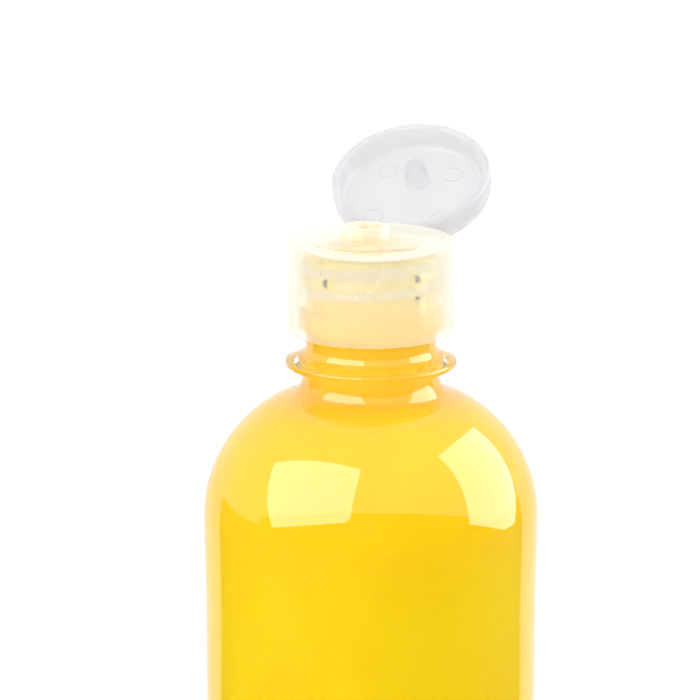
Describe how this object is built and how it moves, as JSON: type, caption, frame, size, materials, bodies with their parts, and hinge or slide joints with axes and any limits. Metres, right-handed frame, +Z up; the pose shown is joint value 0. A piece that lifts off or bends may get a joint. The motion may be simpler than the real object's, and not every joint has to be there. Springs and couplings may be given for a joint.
{
  "type": "squeeze bottle",
  "caption": "Clear round squeeze bottle of opaque paint with a threaded neck and a screw-on dispensing cap whose hinged lid carries a sealing pin.",
  "frame": {"origin": "centre of the bottle's base, on the plane that its foot ring stands on", "axes": "+Z up along the bottle's axis; -Y towards the thumb recess; +Y towards the lid's hinge; +X to the right seen from the front"},
  "size_m": [0.065, 0.079, 0.2109],
  "materials": {
    "clear_pet": "clear, glossy",
    "yellow_paint": "opaque, wet",
    "washer_foam": "matt",
    "milky_polypropylene": "semi-gloss, translucent"
  },
  "bodies": {
    "bottle_body": {"bottle": "clear_pet", "paint": "yellow_paint"},
    "lift_body": {"cap_washer": "washer_foam"},
    "cap_body": {"spout_cap": "milky_polypropylene", "living_hinge": "milky_polypropylene"},
    "lid_body": {"flip_lid": "milky_polypropylene"}
  },
  "joints": [
    {"name": "cap_lift", "type": "slide", "parent": "bottle_body", "child": "lift_body", "axis": [0, 0, 1], "range_m": [0, 0.01693]},
    {"name": "cap_turn", "type": "hinge", "parent": "lift_body", "child": "cap_body", "pos_m": [0, 0, 0.196], "axis": [0, 0, 1], "range_deg": [0, 1440]},
    {"name": "lid_hinge", "type": "hinge", "parent": "cap_body", "child": "lid_body", "pos_m": [0, 0.0163, 0.19515], "axis": [-1, 0, 0], "range_deg": [-149, 31]}
  ],
  "couplings": [
    {"joint": "cap_lift", "follows": "cap_turn", "m_per_rad": 0.0006737}
  ]
}
